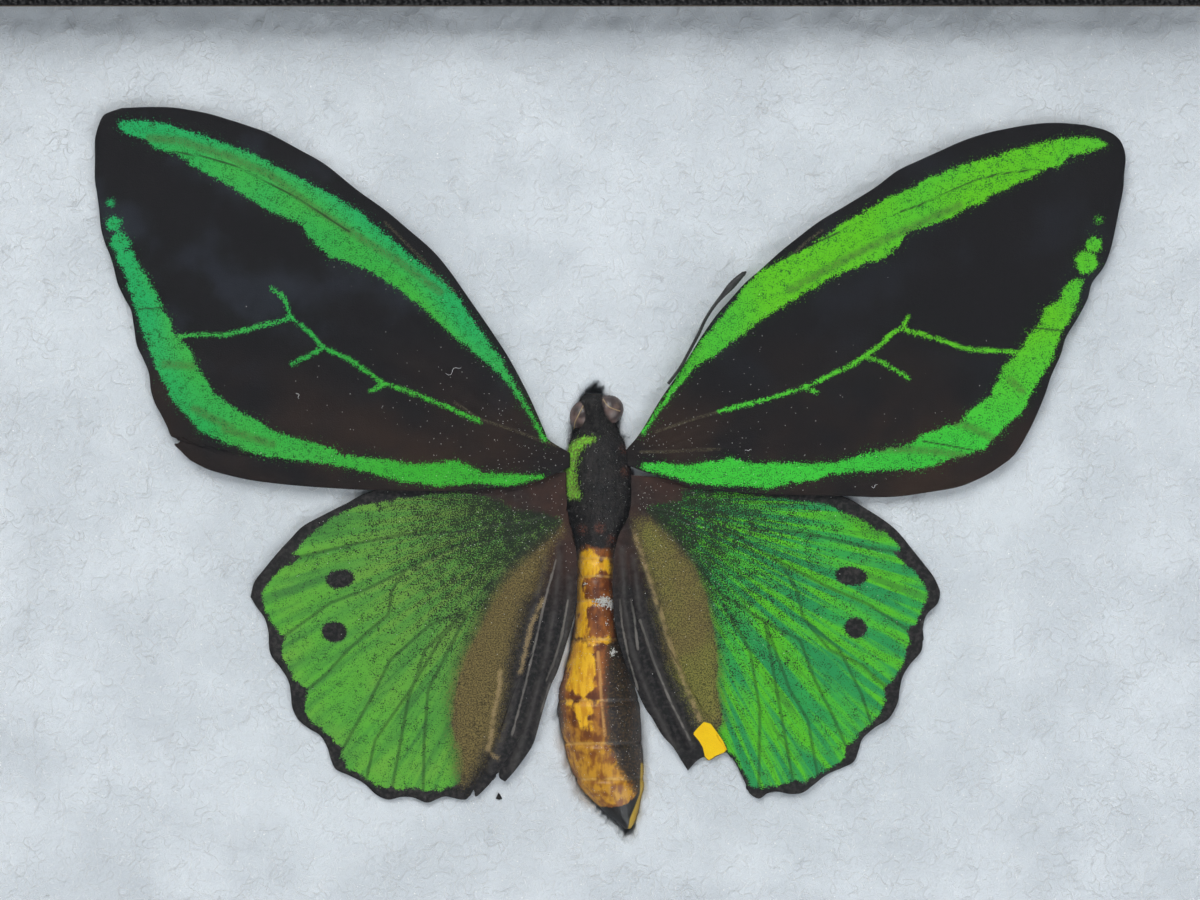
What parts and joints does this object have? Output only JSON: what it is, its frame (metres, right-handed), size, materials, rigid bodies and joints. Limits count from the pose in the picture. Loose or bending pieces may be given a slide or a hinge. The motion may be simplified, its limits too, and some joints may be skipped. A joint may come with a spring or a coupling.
{
  "type": "framed butterfly specimen",
  "caption": "Green and black birdwing butterfly on white wadding in a shallow black glazed display case.",
  "frame": {"origin": "middle of the tray's underside, with the case lying on its back", "axes": "+Z out through the glass, +X along the longer side of the case, +Y towards the butterfly's head"},
  "size_m": [0.2048, 0.154, 0.0222],
  "materials": {
    "black_paper": "pebbled black covering paper over board",
    "window_glass": "clear polished",
    "pin_steel": "bright",
    "wadding": "matted white fibre",
    "body_chitin": "dark hair over amber and brown plates",
    "forewing_scales": "velvet black with scaly green bands",
    "hindwing_scales": "scaly green with a black scalloped edge",
    "antenna_black": "satin"
  },
  "bodies": {
    "root": {"case_tray": "black_paper", "case_lid": "black_paper", "glass_pane": "window_glass", "lid_pin_front": "pin_steel", "lid_pin_back": "pin_steel", "lid_pin_left": "pin_steel", "lid_pin_right": "pin_steel", "batting_pad": "wadding", "body": "body_chitin", "left_forewing": "forewing_scales", "right_forewing": "forewing_scales", "left_hindwing": "hindwing_scales", "right_hindwing": "hindwing_scales", "right_antenna": "antenna_black"}
  },
  "joints": []
}
